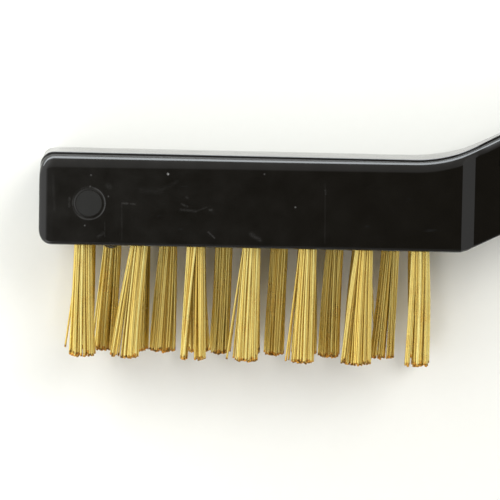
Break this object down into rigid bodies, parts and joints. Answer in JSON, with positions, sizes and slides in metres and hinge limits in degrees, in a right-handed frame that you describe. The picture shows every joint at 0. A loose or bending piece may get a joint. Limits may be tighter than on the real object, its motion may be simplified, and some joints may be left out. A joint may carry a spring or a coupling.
{
  "type": "wire brush",
  "caption": "Hand scratch brush with a bent one-piece plastic handle and straight brass wire tufts, anchor-set in three rows into its narrow head.",
  "frame": {"origin": "bottom centre of the bounding box, with the brush lying on its side", "axes": "+X along the handle from the head's tip to the hanging end, +Y towards the back of the head so that the wires point to -Y, +Z across the width"},
  "size_m": [0.1906, 0.0382, 0.0115],
  "materials": {
    "handle_plastic": "glossy black injection-moulded plastic, faintly hazed and scuffed",
    "brass_wire": "bright drawn brass wire with darker sheared ends",
    "anchor_steel": "dull flat strip"
  },
  "bodies": {
    "root": {"handle": "handle_plastic", "tuft_front_1": "brass_wire", "tuft_front_2": "brass_wire", "tuft_front_3": "brass_wire", "tuft_front_4": "brass_wire", "tuft_front_5": "brass_wire", "tuft_front_6": "brass_wire", "tuft_front_7": "brass_wire", "tuft_middle_1": "brass_wire", "tuft_middle_2": "brass_wire", "tuft_middle_3": "brass_wire", "tuft_middle_4": "brass_wire", "tuft_middle_5": "brass_wire", "tuft_middle_6": "brass_wire", "tuft_back_1": "brass_wire", "tuft_back_2": "brass_wire", "tuft_back_3": "brass_wire", "tuft_back_4": "brass_wire", "tuft_back_5": "brass_wire", "tuft_back_6": "brass_wire", "tuft_back_7": "brass_wire", "anchor_front_1": "anchor_steel", "anchor_front_2": "anchor_steel", "anchor_front_3": "anchor_steel", "anchor_front_4": "anchor_steel", "anchor_front_5": "anchor_steel", "anchor_front_6": "anchor_steel", "anchor_front_7": "anchor_steel", "anchor_middle_1": "anchor_steel", "anchor_middle_2": "anchor_steel", "anchor_middle_3": "anchor_steel", "anchor_middle_4": "anchor_steel", "anchor_middle_5": "anchor_steel", "anchor_middle_6": "anchor_steel", "anchor_back_1": "anchor_steel", "anchor_back_2": "anchor_steel", "anchor_back_3": "anchor_steel", "anchor_back_4": "anchor_steel", "anchor_back_5": "anchor_steel", "anchor_back_6": "anchor_steel", "anchor_back_7": "anchor_steel"}
  },
  "joints": []
}
